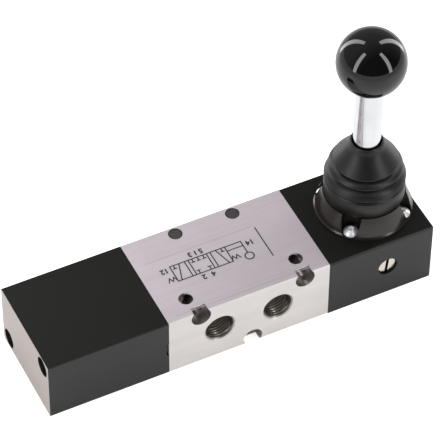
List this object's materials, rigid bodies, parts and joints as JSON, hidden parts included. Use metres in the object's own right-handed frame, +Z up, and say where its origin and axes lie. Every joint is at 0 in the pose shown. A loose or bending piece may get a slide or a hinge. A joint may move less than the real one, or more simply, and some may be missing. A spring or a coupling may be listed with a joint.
{
  "type": "hand lever air valve",
  "caption": "Spool valve for compressed air with a ball-knob hand lever, rubber boot and round flange on one end and a spring housing on the other.",
  "frame": {"origin": "middle of the valve body's bottom face, under the middle port", "axes": "+X along the spool towards the lever, -Y out of the face with ports 2 and 4, +Z up along the lever"},
  "size_m": [0.1209, 0.0324, 0.089],
  "materials": {
    "anodised_aluminium": "satin",
    "black_anodised": "satin",
    "black_plastic": "matt",
    "white_plastic": "matt",
    "gloss_black": "polished",
    "bright_steel": "turned",
    "spring_steel": "drawn wire",
    "black_steel": "black oxide",
    "chromed_steel": "polished",
    "brass": "turned",
    "rubber": "moulded"
  },
  "bodies": {
    "housing": {"valve_body": "anodised_aluminium", "blanking_plugs": "black_plastic", "spool_cages": "brass", "spool_seals": "rubber", "end_spacers": "brass", "spring_housing": "black_anodised", "guide_ring": "bright_steel", "inner_spring": "spring_steel", "outer_spring": "spring_steel", "spring_housing_screws": "black_steel", "lever_housing": "black_anodised", "lever_housing_screws": "black_steel", "access_plug": "bright_steel", "ball_seat": "white_plastic", "boot_flange": "gloss_black", "flange_screws": "bright_steel", "boot": "rubber"},
    "lever": {"lever_rod": "chromed_steel", "pivot_ball": "bright_steel", "knob": "gloss_black", "knob_insert": "brass"},
    "spool": {"spool": "bright_steel", "centring_stem": "bright_steel", "spring_collar": "bright_steel", "stem_clip": "spring_steel", "drive_yoke": "bright_steel", "drive_pin": "bright_steel"}
  },
  "joints": [
    {"name": "lever_tilt", "type": "hinge", "parent": "housing", "child": "lever", "pos_m": [0.0443, 0, 0.024], "axis": [0, 1, 0], "range_deg": [-12, 12], "stiffness_Nm_per_rad": 1.39, "deforming": ["boot"]},
    {"name": "spool_slide", "type": "slide", "parent": "housing", "child": "spool", "axis": [1, 0, 0], "range_m": [-0.0028, 0.0028], "deforming": ["inner_spring", "outer_spring"]}
  ],
  "couplings": [
    {"joint": "spool_slide", "follows": "lever_tilt", "m_per_rad": -0.01319}
  ]
}
